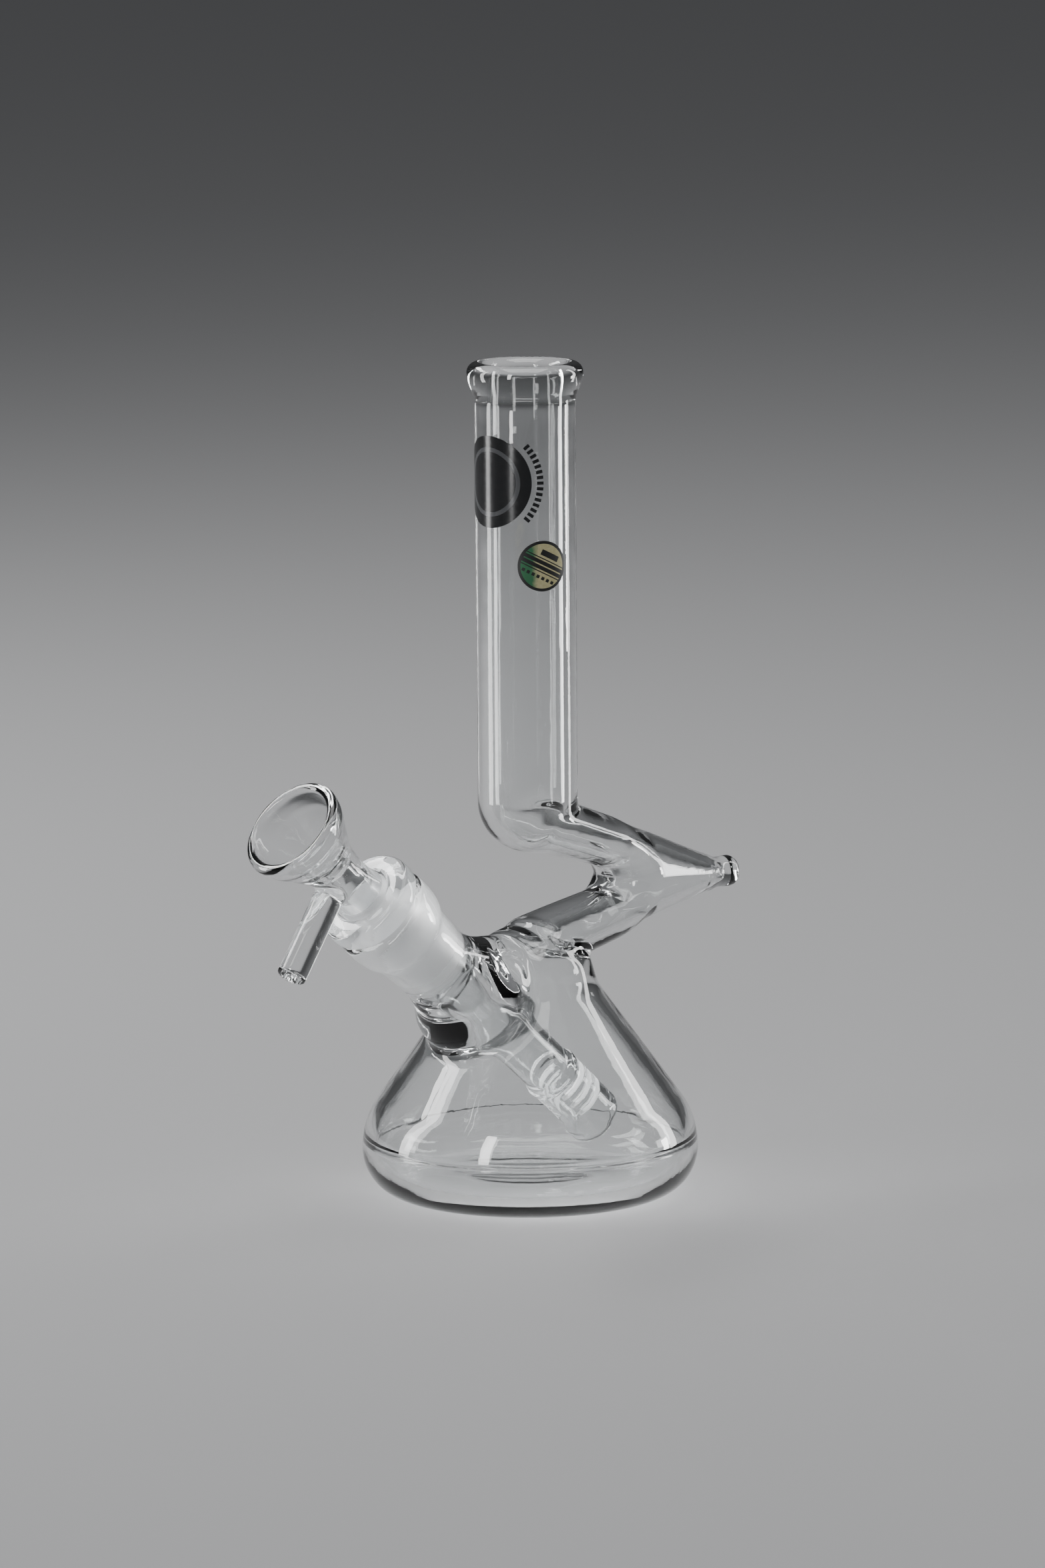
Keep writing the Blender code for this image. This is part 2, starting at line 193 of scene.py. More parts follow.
# Zig-zag: each leg's ends as (x, z), then its half heights and half widths at those ends
UPPER_LEG = ((0, 98.4), (42, 84.3), (7.6, 6.4), (12.7, 11.0))
LOWER_LEG = ((4, 65.8), (42, 73.3), (7.0, 6.4), (12.2, 11.0))
LOWER_ELBOW, LOWER_ELBOW_RADIUS, LOWER_ELBOW_RISE = 58.5, 16.2, 12.0
KICK_TOP = Curve(
    (18, 98.6), (23.5, 97.0), (34.4, 93.0), (44.6, 89.1), (53.9, 85.2), (62.5, 81.8), (66.8, 80.2),
)
KICK_FOOT = Curve((18, 62.0), (27.5, 64.4), (38.5, 67.2), (48.7, 69.3), (61.6, 71.6), (66.8, 72.3))
KICK_WIDTH = Curve((18, 13.0), (30, 12.6), (36, 11.6), (44.6, 9.6), (53.9, 7.3), (62.5, 5.1), (66.8, 3.9))
NUB = Curve((63, 4.6), (66.8, 3.9), (68, 3.95), (70, 4.15), (71.4, 4.15), (74, 4.0))
NUB_FOOT, NUB_END, NUB_HEIGHT = 63.0, 72.9, 76.1
STUB_LEAN = 1.1
STUB = Curve(
    (12, 16.2), (24, 16.5), (28, 16.5), (30, 16.0), (32, 14.9), (34, 13.6), (36, 12.6), (38, 11.8),
    (40, 11.2), (42, 10.8), (44, 10.6), (46, 10.65), (50, 10.85), (54, 11.1), (56, 11.4),
    (57, 11.85), (58, 12.4), (60, 13.0), (62, 13.25), (64, 13.37), (66, 13.36), (68, 13.1),
)
STUB_BORE = Curve(
    (5, 9.2), (39, 9.2), (41.5, 8.7), (43.2, 8.16), (44, 8.2), (67, 9.35), (67.6, 9.45), (68.4, 9.9),
)


def kick(x, y, z, wall, tip):
    """The cone pulled out to the side, up to its tip."""
    top, bottom = KICK_TOP(x), KICK_FOOT(x)
    height = np.maximum((top - bottom) / 2 - wall, 0.9)
    width = np.maximum(KICK_WIDTH(x) - wall, 0.9)
    side = oval(z - (top + bottom) / 2, y, 0.0, height, width) * 0.95
    return rounded_edge(side, x - tip, 1.0)


def neck(x, y, z, wall):
    bore = TUBE_BORE if wall else TUBE_RADIUS
    r = np.hypot(x, y)
    tube = r - bore if wall else MOUTH.side(r, z)
    tube = np.where(z >= ELBOW, tube, ball(x, y, z, ELBOW, bore))
    upper = leg(x, y, z, *UPPER_LEG, wall)
    lower = leg(x, y, z, *LOWER_LEG, wall)
    elbow = ball(x, y, z, LOWER_ELBOW, LOWER_ELBOW_RADIUS - wall, LOWER_ELBOW_RISE - wall)
    legs = np.minimum(smooth_min(tube, upper, 3.0), smooth_min(lower, elbow, 3.0))
    # Past the crease the two legs turn into the one cone.
    share = ramp(x, 25.5 + 0.7 * wall, 37 + 0.7 * wall)
    cone = kick(x, y, z, wall * 0.85, 68.2 if wall else 70.0)
    return legs + (cone - legs) * share


def pipe_outside(x, y, z):
    shape = neck(x, y, z, 0)
    body = np.maximum(flask(x, y, z, 0.0, 0.0), z - FLASK_TOP)
    shape = smooth_min(shape, body, 6.0)
    rj, s = on_joint(x, y, z, STUB_LEAN)
    stub = rounded_edge(STUB.side(rj, s), s - SOCKET_END, 1.4)
    shape = smooth_min(shape, np.maximum(stub, 12 - s), 4.5)
    nub = rounded_edge(NUB.side(np.hypot(y, z - NUB_HEIGHT), x), x - NUB_END, 1.7)
    return smooth_min(shape, np.maximum(nub, NUB_FOOT - x), 0.3)


def pipe_inside(x, y, z):
    shape = neck(x, y, z, NECK_WALL)
    body = np.maximum(flask(x, y, z, FLASK_WALL, FLOOR_THICKNESS), z - FLASK_TOP)
    shape = smooth_min(shape, body, 6.0)
    rj, s = on_joint(x, y, z)
    return smooth_min(shape, np.maximum(STUB_BORE.side(rj, s), 5 - s), 2.5)


def pipe(x, y, z):
    shape = smooth_max(pipe_outside(x, y, z), -pipe_inside(x, y, z), 0.8)
    shape = np.maximum(shape, z - CREST)
    r = np.hypot(x, y)
    crest = np.hypot(r - (LIP_RADIUS - LIP_ROUND), z - CREST) - LIP_ROUND
    return np.minimum(np.maximum(shape, -z), crest)


# ---------------------------------------------------------------- the downstem and the bowl

# The head's underside stays just clear of the socket's end.
HEAD = Curve(
    (66.8, 9.0), (68.1, 9.1), (68.5, 9.5), (69.0, 11.4), (69.7, 12.8), (70.7, 13.3), (72, 13.45),
    (73.6, 13.25), (74.6, 12.6), (75.2, 11.6),
)
STEM = Curve(
    (-31, 7.3), (-29.6, 7.6), (-27, 7.5), (-11.4, 7.5), (-10.6, 7.75), (-9.6, 7.7), (-8.8, 7.2),
    (-7.6, 6.85), (-5, 6.8), (34, 6.8), (37, 7.05), (41.2, 7.75), (67, 9.05),
)
STEM_HOLE = Curve(
    (-31, 6.1), (-29.6, 5.75), (-27, 5.9), (-11, 5.9), (-10.2, 5.65), (-9.2, 5.5), (-7, 5.6), (42, 5.6),
    (46, 5.8), (48, 5.89), (49.5, 6.0), (74.4, 7.25), (75.4, 7.9),
)
SLITS = (-13.7, -17.3, -20.9)
SLIT_TURN = math.radians(20)
SLIT_HALF, SLIT_DEPTH = 0.55, 3.9


def slit_side(x, y):
    """Distance from the plane through the stem's axis that the saw cuts towards from both sides."""
    return np.abs(y * math.cos(SLIT_TURN) - x * math.sin(SLIT_TURN))


def downstem(x, y, s):
    r = np.hypot(x, y)
    stem = np.maximum(STEM.side(r, s), s - 67)
    stem = rounded_edge(stem, STEM_END - s, 0.7)
    head = rounded_edge(HEAD.side(r, s), s - HEAD_END, 0.8)
    shape = smooth_min(stem, np.maximum(head, 66.9 - s), 0.4)
    shape = smooth_max(shape, -STEM_HOLE.side(r, s), 0.6)
    deep = slit_side(x, y) - (STEM_RADIUS - SLIT_DEPTH)
    for place in SLITS:
        saw = np.maximum(np.abs(s - place) - SLIT_HALF, -deep)
        shape = np.maximum(shape, -saw)
    return shape


BOWL = Curve(
    (50, 5.65), (75.2, 6.93), (76.4, 6.95), (77.6, 6.75), (79.5, 6.45), (82, 6.3), (84, 6.35), (86, 6.5),
    (88, 6.8), (90, 7.2), (92, 7.94), (94, 8.91), (96, 9.92), (98, 10.95), (100, 12.0), (102, 12.95),
    (104, 13.6), (105.8, 13.9), (107.6, 13.9),
)
BOWL_INSIDE = Curve(
    (88.6, 2.6), (89.2, 3.2), (90.5, 4.1), (92.6, 5.1), (96, 7.2), (100, 9.3), (102.5, 10.5),
    (104.5, 10.95), (106.5, 11.1), (107.6, 11.4),
)
BOWL_BORE = Curve((50, 3.6), (78, 3.6), (81, 3.3), (82.6, 2.8), (84, 2.6), (90, 2.6))
HANDLE_TURN, HANDLE_REACH = math.radians(8), 31.4
HANDLE_PLACE, HANDLE_RADIUS = 85.5, 3.8
BOWL_FOOT, BOWL_END = 50.0, 107.3


def bowl(x, y, s):
    r = np.hypot(x, y)
    shape = rounded_edge(BOWL.side(r, s), s - BOWL_END, 1.7)
    shape = rounded_edge(shape, BOWL_FOOT - s, 0.5)
    far = -(x * math.cos(HANDLE_TURN) + y * math.sin(HANDLE_TURN))
    across = y * math.cos(HANDLE_TURN) - x * math.sin(HANDLE_TURN)
    rod = np.hypot(across, s - HANDLE_PLACE) - HANDLE_RADIUS
    rod = rounded_edge(rod, far - HANDLE_REACH, 0.5)
    shape = smooth_min(shape, np.maximum(rod, -far), 1.6)
    hollow = np.maximum(BOWL_INSIDE.side(r, s), 88.8 - s)
    hollow = smooth_min(hollow, np.maximum(BOWL_BORE.side(r, s), s - 91), 0.8)
    return smooth_max(shape, -hollow, np.where(s > 100, 2.2, 0.6))


# ---------------------------------------------------------------- meshes

def steps(*runs):
    """Grid places through runs of (start, end, step)."""
    places = [np.linspace(a, b, max(2, round((b - a) / step)), endpoint=False) for a, b, step in runs]
    return np.concatenate(places + [[runs[-1][1]]])


def surface(field, axes):
    """The closed surface where the field is 0, as (points, quads)."""
    values = field(*np.meshgrid(*axes, indexing="ij"))
    shape = values.shape
    cells, points, faces = [], [], []
    for axis in range(3):
        low = np.moveaxis(values, axis, 0)[:-1]
        high = np.moveaxis(values, axis, 0)[1:]
        index = np.argwhere(np.moveaxis((low < 0) != (high < 0), 0, axis))
        after = index.copy()
        after[:, axis] += 1
        a, b = values[tuple(index.T)], values[tuple(after.T)]
        point = np.stack([axes[i][index[:, i]] for i in range(3)], 1)
        step = axes[axis][after[:, axis]] - axes[axis][index[:, axis]]
        point[:, axis] += step * a / (a - b)
        u, v = (axis + 1) % 3, (axis + 2) % 3
        corners = []
        for du, dv in ((-1, -1), (0, -1), (0, 0), (-1, 0)):
            cell = index.copy()
            cell[:, u] += du
            cell[:, v] += dv
            corners.append(np.ravel_multi_index(tuple(cell.T), shape))
        quad = np.stack(corners, 1)
        quad[a > 0] = quad[a > 0][:, ::-1]
        faces.append(quad)
        points.append(np.repeat(point, 4, axis=0))
    cell_of = np.unique(np.concatenate(faces), return_inverse=True)[1].reshape(-1)
    # A crossing was repeated once for each of its quad's four cells, in the same order.
    crossing = np.concatenate(points)
    count = np.bincount(cell_of)
    vertices = np.stack([np.bincount(cell_of, crossing[:, i]) / count for i in range(3)], 1)
    return vertices, cell_of.reshape(-1, 4)


def slope_of(field, p, h=0.02):
    parts = []
    for i in range(3):
        step = np.zeros(3)
        step[i] = h
        parts.append((field(*(p + step).T) - field(*(p - step).T)) / (2 * h))
    return np.stack(parts, 1)


def settle(field, p, rounds=3, most=0.5):
    for _ in range(rounds):
        value, slope = field(*p.T), slope_of(field, p)
        move = -(value / np.maximum((slope * slope).sum(1), 0.05))[:, None] * slope
        length = np.linalg.norm(move, axis=1, keepdims=True)
        p = p + move * np.minimum(1, most / np.maximum(length, 1e-9))
    return p


def relax(field, p, faces, rounds):
    """Evens out the mesh along the surface."""
    a = faces.reshape(-1)
    b = np.roll(faces, -1, axis=1).reshape(-1)
    count = np.bincount(a, minlength=len(p)) + np.bincount(b, minlength=len(p))
    for _ in range(rounds):
        mean = np.stack([
            np.bincount(a, p[b, i], len(p)) + np.bincount(b, p[a, i], len(p)) for i in range(3)
        ], 1) / count[:, None]
        normal = slope_of(field, p)
        normal /= np.maximum(np.linalg.norm(normal, axis=1, keepdims=True), 1e-9)
        move = (mean - p) * 0.5
        move -= (move * normal).sum(1, keepdims=True) * normal
        p = settle(field, p + move, 1)
    return p


def build(name, points, faces, materials, place=None):
    mesh = bpy.data.meshes.new(name)
    mesh.from_pydata([], [], [])
    mesh.vertices.add(len(points))
    mesh.vertices.foreach_set("co", (points * MM).astype(np.float32).reshape(-1))
    mesh.loops.add(faces.size)
    mesh.loops.foreach_set("vertex_index", faces.reshape(-1).astype(np.int32))
    mesh.polygons.add(len(faces))
    mesh.polygons.foreach_set("loop_start", np.arange(0, faces.size, 4, dtype=np.int32))
    mesh.update(calc_edges=True)
    mesh.validate()
    mesh.shade_smooth()
    for material in materials:
        mesh.materials.append(material)
    piece = bpy.data.objects.new(name, mesh)
    bpy.context.scene.collection.objects.link(piece)
    if place is not None:
        mesh.transform(place)
    return piece


def mask(piece, name, values):
    attribute = piece.data.attributes.new(name, "FLOAT", "POINT")
    attribute.data.foreach_set("value", values.astype(np.float32))


def frosting(s, start):
    """How ground the joint looks from this place outwards: thinner at the flask's end."""
    return 0.55 + 0.45 * ramp(s, start, start + 14)


JOINT_PLACE = Matrix.Translation((0, 0, JOINT_CROSSING * MM)) @ Matrix.Rotation(
    JOINT_ANGLE - math.pi / 2, 4, "Y"
)
coarse = 1.0


# ---------------------------------------------------------------- materials

class Nodes:
    """Adds nodes to a new material and joins them up."""

    def __init__(self, name):
        self.material = bpy.data.materials.new(name)
        self.material.use_nodes = True
        self.tree = self.material.node_tree
        self.shader = self.tree.nodes["Principled BSDF"]

    def put(self, socket, value):
        if isinstance(value, bpy.types.NodeSocket):
            self.tree.links.new(value, socket)
        elif isinstance(value, tuple) and len(value) == 3 and socket.type == "RGBA":
            socket.default_value = (*value, 1)
        else:
            socket.default_value = value

    def add(self, kind, output=0, settings=None, **inputs):
        node = self.tree.nodes.new(kind)
        for key, value in (settings or {}).items():
            setattr(node, key, value)
        for key, value in inputs.items():
            place = int(key[1:]) if key[0] == "i" and key[1:].isdigit() else key.replace("_", " ")
            self.put(node.inputs[place], value)
        return node.outputs[output]

    def math(self, operation, a, b=0.0, c=0.0):
        return self.add("ShaderNodeMath", settings={"operation": operation}, i0=a, i1=b, i2=c)

    def mix(self, share, a, b):
        node = self.tree.nodes.new("ShaderNodeMix")
        node.data_type = "RGBA"
        self.put(node.inputs["Factor"], share)
        self.put(node.inputs["A"], a)
        self.put(node.inputs["B"], b)
        return node.outputs["Result"]

    def scaled(self, share, low, high):
        return self.add("ShaderNodeMapRange", Value=share, To_Min=low, To_Max=high)

    def noise(self, scale, stretch=(1, 1, 1), detail=2.0):
        place = self.add("ShaderNodeTexCoord", output=3)
        place = self.add(
            "ShaderNodeVectorMath", settings={"operation": "MULTIPLY"}, i0=place, i1=stretch
        )
        return self.add("ShaderNodeTexNoise", Vector=place, Scale=scale, Detail=detail)

    def open_to_lamps(self, share):
        """Lets this share of a lamp's light through."""
        path = self.tree.nodes.new("ShaderNodeLightPath")
        clear = self.add("ShaderNodeBsdfTransparent")
        both = self.tree.nodes.new("ShaderNodeMixShader")
        self.put(both.inputs[0], self.math("MULTIPLY", path.outputs["Is Shadow Ray"], share))
        self.put(both.inputs[1], self.shader.outputs[0])
        self.put(both.inputs[2], clear)
        self.put(self.tree.nodes["Material Output"].inputs["Surface"], both.outputs[0])

    def finish(self, **inputs):
        for key, value in inputs.items():
            self.put(self.shader.inputs[key.replace("_", " ")], value)
        return self.material


def glass():
    """Clear glass with faint draw lines along the tube, milky and rough where it is ground."""
    n = Nodes("clear_glass")

    def mark(name):
        return n.add("ShaderNodeAttribute", output=2, settings={"attribute_name": name})

    ground, sawn = mark("ground"), mark("sawn")
    drawn = n.noise(650, stretch=(1, 1, 0.004), detail=2.0)
    drawn = n.math("MULTIPLY", drawn, n.scaled(mark("drawn"), 0.15, 0.9))
    height = n.math("MULTIPLY_ADD", n.noise(75, detail=1.5), 2.2, drawn)
    grain = n.math("MULTIPLY", n.noise(2600, detail=3.0), ground)
    height = n.math("MULTIPLY_ADD", grain, 0.5, height)
    bump = n.add("ShaderNodeBump", Height=height, Strength=0.12, Distance=0.0004)
    # Light passes through clear glass, so that what lies behind it is lit.
    n.open_to_lamps(n.scaled(ground, 0.9, 0.3))
    return n.finish(
        Base_Color=n.mix(ground, (0.952, 0.962, 0.963), (0.84, 0.85, 0.86)),
        Roughness=n.scaled(ground, 0.0, 0.45),
        Transmission_Weight=n.math("SUBTRACT", n.scaled(ground, 1.0, 0.36), n.scaled(sawn, 0.0, 0.3)),
        IOR=1.47, Normal=bump,
    )


def print_ink():
    """A thin dark print with a lighter ring, which still lets some light through."""
    n = Nodes("decal_ink")
    spot = n.add("ShaderNodeAttribute", output=1, settings={"attribute_name": "spot"})
    far = n.add("ShaderNodeVectorMath", output=1, settings={"operation": "LENGTH"}, i0=spot)
    ring = n.math("LESS_THAN", n.math("ABSOLUTE", n.math("SUBTRACT", far, 8.4)), 0.55)
    speck = n.noise(900, detail=4.0)
    dark = n.mix(speck, (0.022, 0.023, 0.025), (0.05, 0.052, 0.055))
    return n.finish(
        Base_Color=n.mix(ring, dark, (0.19, 0.195, 0.205)),
        Roughness=n.scaled(speck, 0.12, 0.26),
        Transmission_Weight=0.5, IOR=1.4,
    )


def sticker_print():
    """A plain badge: a dark border and bands on a foil whose colour, shifting from green to cream, is a
    painted reflection of a light stripe, with painted glints on the cream.
    """
    n = Nodes("sticker_foil")
    spot = n.add("ShaderNodeAttribute", output=1, settings={"attribute_name": "spot"})
    parts = n.tree.nodes.new("ShaderNodeSeparateXYZ")
    n.put(parts.inputs[0], spot)
    across, up = parts.outputs[0], parts.outputs[1]
    tilt = math.radians(-27)
    along = n.math("MULTIPLY_ADD", across, math.cos(tilt), n.math("MULTIPLY", up, math.sin(tilt)))
    over = n.math("MULTIPLY_ADD", across, -math.sin(tilt), n.math("MULTIPLY", up, math.cos(tilt)))
    far = n.add("ShaderNodeVectorMath", output=1, settings={"operation": "LENGTH"}, i0=spot)

    def stripe(place, value, half):
        gap = n.math("ABSOLUTE", n.math("SUBTRACT", value, place))
        return n.math("LESS_THAN", gap, half)

    # Painted reflection: the foil's colour turns from green to cream across the sticker where a light
    # stripe would reflect, and fine noise adds painted glints to the cream.
    reflection_edge = n.math("MULTIPLY_ADD", n.noise(700, detail=3.0), 1.6, n.math("ADD", across, 1.6))
    cream = n.add(
        "ShaderNodeMapRange", Value=reflection_edge, From_Min=-0.5, From_Max=1.2, To_Min=0.0, To_Max=1.0
    )
    glint = n.noise(1500, detail=2.0)
    foil = n.mix(cream, (0.07, 0.25, 0.12), n.mix(glint, (0.62, 0.55, 0.26), (0.86, 0.82, 0.52)))
    dashes = n.math("LESS_THAN", n.math("PINGPONG", along, 0.7), 0.42)
    marks = n.math("GREATER_THAN", far, 5.8)
    for dark in (
        stripe(0.1, over, 1.15),
        stripe(1.75, over, 0.14),
        stripe(-1.55, over, 0.14),
        n.math("MULTIPLY", stripe(3.2, over, 0.75), stripe(0.6, along, 2.6)),
        n.math("MULTIPLY", stripe(-2.9, over, 0.42), dashes),
    ):
        marks = n.math("MAXIMUM", marks, dark)
    light = n.math("MULTIPLY", stripe(0.1, over, 0.16), n.math("LESS_THAN", far, 5.6))
    marks = n.math("MULTIPLY", marks, n.math("SUBTRACT", 1.0, light))
    return n.finish(
        Base_Color=n.mix(marks, foil, (0.012, 0.013, 0.013)),
        Roughness=n.scaled(marks, 0.28, 0.42),
        Metallic=n.scaled(marks, 0.35, 0.0),
    )


def floor_finish():
    n = Nodes("pale_floor")
    return n.finish(Base_Color=(0.34, 0.34, 0.345), Roughness=0.6, Specular_IOR_Level=0.0)


clear_glass, ink, foil = glass(), print_ink(), sticker_print()

# ---------------------------------------------------------------- the three pieces of glass

axes = (
    steps((-64, 46.5, 1.0 * coarse), (46.5, 77.5, 0.8 * coarse)),
    steps((-45.6, 45.6, 1.0 * coarse)),
    steps((-1.5, 12.5, 0.9 * coarse), (12.5, 16.3, 0.4 * coarse), (16.3, 106, 1.0 * coarse),
          (106, 204, 3 * coarse), (204, 219.5, 0.65 * coarse)),
)
points, faces = surface(pipe, axes)
points = relax(pipe, settle(pipe, points), faces, 3)
pipe_piece = build("pipe_glass", points, faces, [clear_glass])
rj, s = on_joint(*points.T)
mask(pipe_piece, "ground", ramp(s, 43.0, 44.5) * frosting(s, 44) * (rj < 9.95) * (s < SOCKET_END))
mask(pipe_piece, "drawn", ramp(points[:, 2], 100, 112) * (1 - ramp(points[:, 2], 200, 208)))

axes = (
    steps((-14.4, 14.4, 0.55 * coarse)),
    steps((-14.4, 14.4, 0.55 * coarse)),
    steps((-32, -22, 0.5 * coarse), (-22, -12.5, 0.22), (-12.5, -8, 0.5 * coarse), (-8, 34, 1.6 * coarse),
          (34, 66, 0.9 * coarse), (66, 76.2, 0.42 * coarse)),
)
points, faces = surface(downstem, axes)
points = relax(downstem, settle(downstem, points), faces, 2)
stem_piece = build("downstem_glass", points, faces, [clear_glass], JOINT_PLACE)
r, s = np.hypot(points[:, 0], points[:, 1]), points[:, 2]
outer = ramp(s, 41.0, 42.0) * frosting(s, 42) * (s < 67.6) * (r > STEM_HOLE(s) + 0.5)
seat = ramp(s, 49.5, 51) * (s < 74.6) * (r < STEM_HOLE(s) + 0.5)
kerf = np.zeros(len(s), bool)
for place in SLITS:
    kerf |= (np.abs(s - place) < SLIT_HALF + 0.25) & (slit_side(points[:, 0], points[:, 1]) > 3.4)
mask(stem_piece, "ground", np.maximum(outer + seat, kerf))
mask(stem_piece, "sawn", kerf)

axes = (
    steps((-33, -14.6, 0.7 * coarse), (-14.6, 14.6, 0.5 * coarse)),
    steps((-14.8, 14.8, 0.5 * coarse)),
    steps((49, 78, 0.7 * coarse), (78, 108.6, 0.45 * coarse)),
)
points, faces = surface(bowl, axes)
points = relax(bowl, settle(bowl, points), faces, 2)
bowl_piece = build("bowl_glass", points, faces, [clear_glass], JOINT_PLACE)
r, s = np.hypot(points[:, 0], points[:, 1]), points[:, 2]
mask(bowl_piece, "ground", (1 - ramp(s, 76.0, 77.0)) * (r > 5))

for piece, body, nodes in (
    (pipe_piece, "pipe", (
        "flask_base", "zigzag_neck", "kick_nub", "neck_tube", "mouth_lip", "joint_stub", "joint_socket",
    )),
    (stem_piece, "downstem", (
        "downstem_head", "downstem_ground_joint", "downstem_tube", "diffuser_tip",
    )),
    (bowl_piece, "bowl", (
        "bowl_ground_joint", "bowl_neck", "bowl_cone", "bowl_rim", "bowl_handle",
    )),
):
    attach(piece, body)
    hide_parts(*nodes)

# ---------------------------------------------------------------- labels


LABEL_FOOT, LABEL_FACE = 13.05, 13.22  # radii of its back and its front

# Each label's turn round the tube, height and radius
DECAL = (math.radians(2.6), 187.9, 11.9)
STICKER = (math.radians(67), 166.4, 6.55)
TICKS, TICK_START, TICK_STEP = 15, math.radians(-41.3), math.radians(5.9)
TICK_INNER, TICK_OUTER, TICK_HALF = 13.3, 15.0, 0.42


def wrapped(name, flat, faces, turn, height, material):
    """A closed flat piece (across, up, level) in millimetres, wrapped onto the tube."""
    across, up, level = np.array(flat, float).T
    angle = turn + across / LABEL_FOOT
    points = np.stack([-np.cos(angle) * level, -np.sin(angle) * level, height + up], 1)
    mesh = bpy.data.meshes.new(name)
    mesh.from_pydata(points * MM, [], faces)
    mesh.update()
    mesh.shade_smooth()
    mesh.set_sharp_from_angle(angle=math.radians(40))
    mesh.materials.append(material)
    piece = bpy.data.objects.new(name, mesh)
    bpy.context.scene.collection.objects.link(piece)
    spot = mesh.attributes.new("spot", "FLOAT_VECTOR", "POINT")
    spot.data.foreach_set("vector", np.stack([across, up, 0 * up], 1).astype(np.float32).reshape(-1))
    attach(piece, "pipe")
    return piece


def plate(corners):
    """(points, faces) of a grid of (across, up) corners, rows by columns, given a thickness."""
    rows, columns = len(corners), len(corners[0])
    points = [(*p, level) for level in (LABEL_FACE, LABEL_FOOT) for row in corners for p in row]
    per = rows * columns
    faces = []
    for r in range(rows - 1):
        for c in range(columns - 1):
            a = r * columns + c
            quad = (a, a + 1, a + columns + 1, a + columns)
            faces += [quad, tuple(per + i for i in reversed(quad))]
    rim = list(range(columns)) + [r * columns + columns - 1 for r in range(1, rows)]
    rim += list(range(per - 2, per - columns - 1, -1)) + [r * columns for r in range(rows - 2, 0, -1)]
    for a, b in zip(rim, rim[1:] + rim[:1]):
        faces.append((b, a, per + a, per + b))
    return points, faces


def disc(radius, cells=26):
    """A square grid pushed out to a round edge."""
    def place(i, j):
        u, v = 2 * i / cells - 1, 2 * j / cells - 1
        return (radius * u * math.sqrt(1 - v * v / 2), radius * v * math.sqrt(1 - u * u / 2))
    return plate([[place(i, j) for i in range(cells + 1)] for j in range(cells + 1)])


def tick(turn, inner, outer, half):
    """A short stroke standing on a circle round the disc."""
    def place(distance, aside):
        a = turn + aside / distance
        return (distance * math.cos(a), distance * math.sin(a))
    return plate([[place(d, s) for s in (-half, half)] for d in (inner, (inner + outer) / 2, outer)])


turn, height, radius = DECAL
points, faces = disc(radius)
for k in range(TICKS):
    more, sides = tick(TICK_START + TICK_STEP * k, TICK_INNER, TICK_OUTER, TICK_HALF)
    faces = faces + [tuple(len(points) + i for i in side) for side in sides]
    points = points + more
decal = wrapped("decal_print", points, faces, turn, height, ink)
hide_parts("round_decal")
turn, height, radius = STICKER
sticker = wrapped("sticker_print", *disc(radius), turn, height, foil)
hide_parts("round_sticker")

# ---------------------------------------------------------------- floor, light and camera

FLOOR_HALF, FLOOR_GAP = 9, 0.0002
floor_mesh = bpy.data.meshes.new("floor")
corners = [(-FLOOR_HALF, -FLOOR_HALF, 0), (FLOOR_HALF, -FLOOR_HALF, 0)]
corners += [(FLOOR_HALF, FLOOR_HALF, 0), (-FLOOR_HALF, FLOOR_HALF, 0)]
floor_mesh.from_pydata(corners, [], [(0, 1, 2, 3)])
floor = bpy.data.objects.new("floor", floor_mesh)
floor.location.z = -FLOOR_GAP
bpy.context.scene.collection.objects.link(floor)
floor_mesh.materials.append(floor_finish())

world = bpy.data.worlds.new("studio")
bpy.context.scene.world = world
world.use_nodes = True
background = world.node_tree.nodes["Background"]
direction = world.node_tree.nodes.new("ShaderNodeTexCoord").outputs["Generated"]
parts = world.node_tree.nodes.new("ShaderNodeSeparateXYZ")
rise = world.node_tree.nodes.new("ShaderNodeMapRange")
shade = world.node_tree.nodes.new("ShaderNodeMix")
shade.data_type = "RGBA"
rise.interpolation_type = "SMOOTHSTEP"
rise.inputs["From Max"].default_value = 0.6
shade.inputs["A"].default_value = (0.21, 0.215, 0.22, 1)
shade.inputs["B"].default_value = (0.62, 0.63, 0.65, 1)
world.node_tree.links.new(direction, parts.inputs[0])
world.node_tree.links.new(parts.outputs["Z"], rise.inputs["Value"])
world.node_tree.links.new(rise.outputs[0], shade.inputs["Factor"])
world.node_tree.links.new(shade.outputs["Result"], background.inputs["Color"])
background.inputs["Strength"].default_value = 0.3


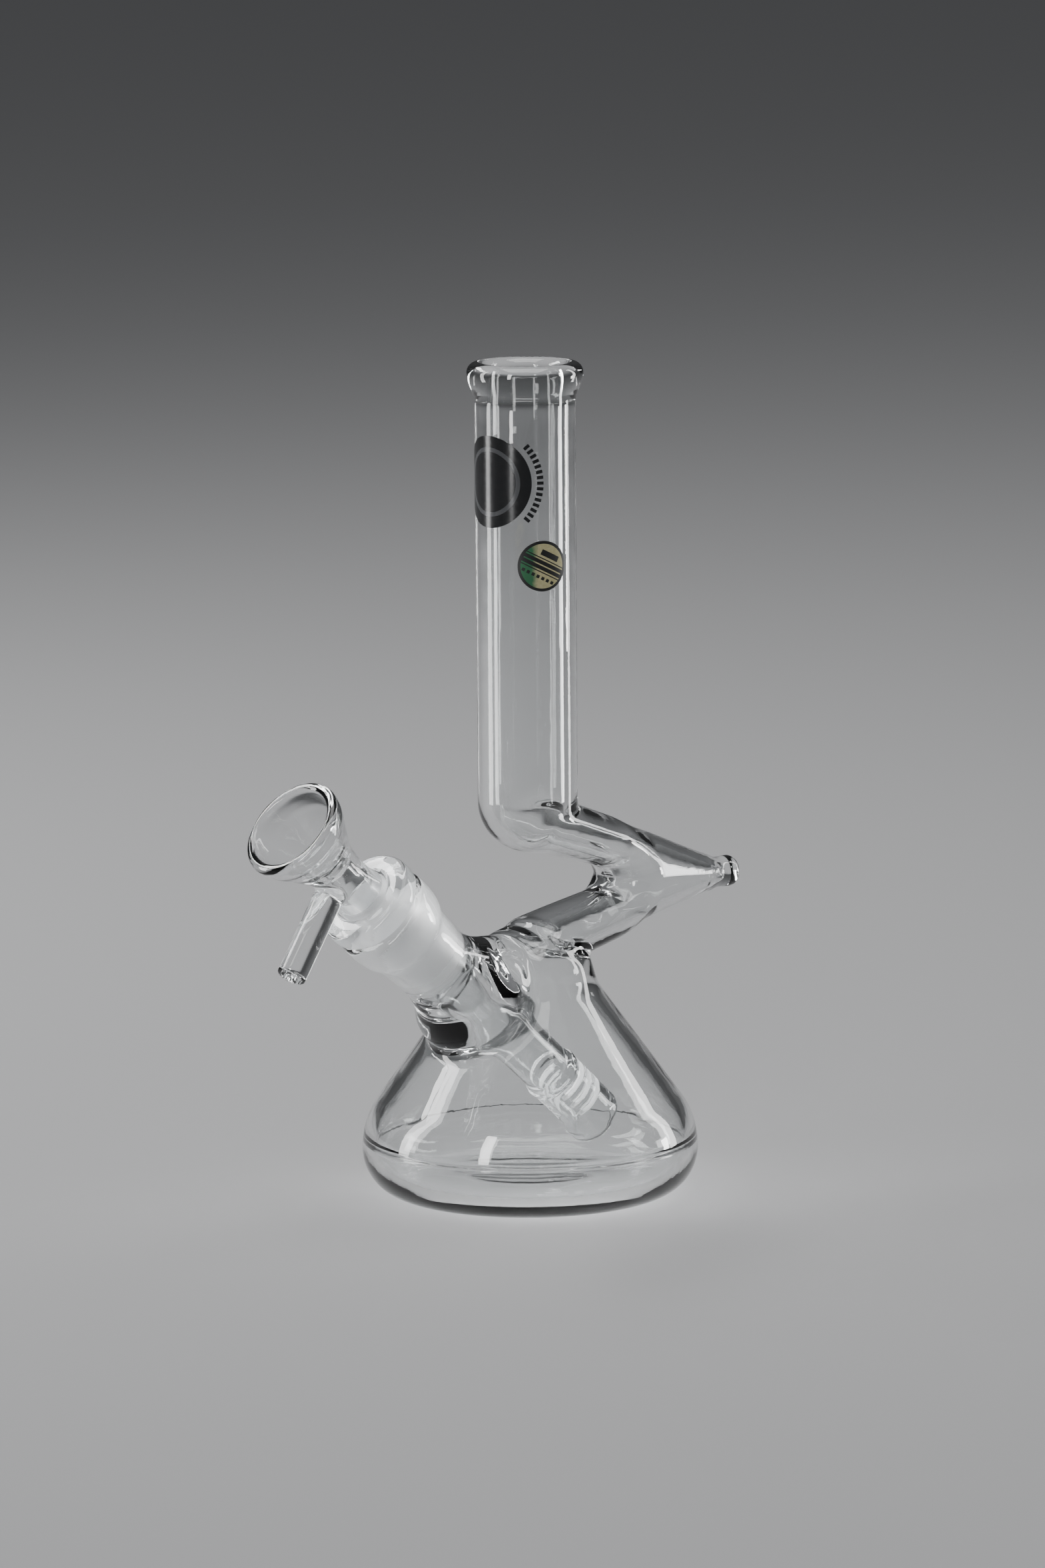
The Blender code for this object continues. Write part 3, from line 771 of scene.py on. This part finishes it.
def area_light(name, place, size, power, target=(0, 0, 0.1), on_floor=True):
    """With on_floor off, the light only shows in the glass and leaves no patch on the floor."""
    light = bpy.data.lights.new(name, "AREA")
    light.shape = "RECTANGLE"
    light.size, light.size_y = size
    light.energy = power
    holder = bpy.data.objects.new(name, light)
    holder.location = place
    holder.rotation_euler = (Vector(target) - Vector(place)).to_track_quat("-Z", "Y").to_euler()
    holder.visible_camera = False
    holder.visible_diffuse = on_floor
    bpy.context.scene.collection.objects.link(holder)


area_light("overhead", (-0.1, -0.1, 1.7), (1.3, 1.3), 28)
area_light("left strip", (-0.38, 0.38, 0.31), (0.1, 0.6), 2.8, (0, 0, 0.31), on_floor=False)
area_light("right strip", (0.5, -0.18, 0.31), (0.08, 0.6), 2.2, (0, 0, 0.31), on_floor=False)
area_light("front strip", (-0.75, -0.22, 0.4), (0.1, 0.6), 5, (0, 0, 0.3), on_floor=False)
area_light("rim strip", (-0.27, 0.95, 0.87), (0.8, 0.2), 11)
area_light("socket glint", (0.77, -0.383, 0.085), (0.09, 0.13), 1.6, (-0.045, 0, 0.075),
           on_floor=False)

AZIMUTH, ELEVATION, ROLL = math.radians(-42), math.radians(9.4), math.radians(-0.407)
DISTANCE = 2.05
camera = bpy.data.cameras.new("camera")
camera.sensor_fit = "VERTICAL"
camera.sensor_height = 36
camera.lens = 181.3
camera.clip_end = 50
back = Vector((
    math.sin(AZIMUTH) * math.cos(ELEVATION), -math.cos(AZIMUTH) * math.cos(ELEVATION),
    math.sin(ELEVATION),
))
right = Vector((math.cos(AZIMUTH), math.sin(AZIMUTH), 0))
up = back.cross(right)
right, up = (
    right * math.cos(ROLL) + up * math.sin(ROLL), up * math.cos(ROLL) - right * math.sin(ROLL),
)
aim = Vector((0, 0, 0.109)) - right * 0.00134 - up * 0.00133
holder = bpy.data.objects.new("camera", camera)
holder.matrix_world = Matrix((
    (right.x, up.x, back.x, aim.x + back.x * DISTANCE),
    (right.y, up.y, back.y, aim.y + back.y * DISTANCE),
    (right.z, up.z, back.z, aim.z + back.z * DISTANCE),
    (0, 0, 0, 1),
))
bpy.context.scene.collection.objects.link(holder)
bpy.context.scene.camera = holder
